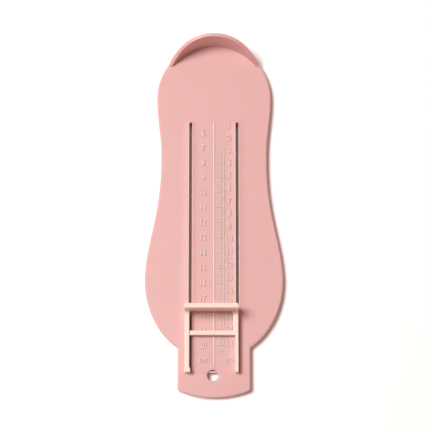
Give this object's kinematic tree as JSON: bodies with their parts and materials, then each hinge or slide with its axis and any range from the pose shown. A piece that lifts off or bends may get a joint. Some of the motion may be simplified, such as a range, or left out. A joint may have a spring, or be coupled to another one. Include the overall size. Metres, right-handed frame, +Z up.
{
  "type": "foot measuring gauge",
  "caption": "Flat foot-shaped gauge with an upright heel wall, two guide slots and a sliding toe wall, for reading a child's foot length.",
  "frame": {"origin": "on the ground, at the middle of the plate's length and width", "axes": "+Z up from the ground, +Y along the plate from the handle tab to the heel wall, +X to the right seen from above with the heel wall away"},
  "size_m": [0.0892, 0.236, 0.026],
  "materials": {
    "pink_plastic": "satin, fine moulded grain",
    "cream_plastic": "satin"
  },
  "bodies": {
    "plate": {"measuring_plate": "pink_plastic"},
    "slider": {"toe_slider": "cream_plastic"}
  },
  "joints": [
    {"name": "slider_run", "type": "slide", "parent": "plate", "child": "slider", "axis": [0, 1, 0], "range_m": [0, 0.1225]}
  ]
}
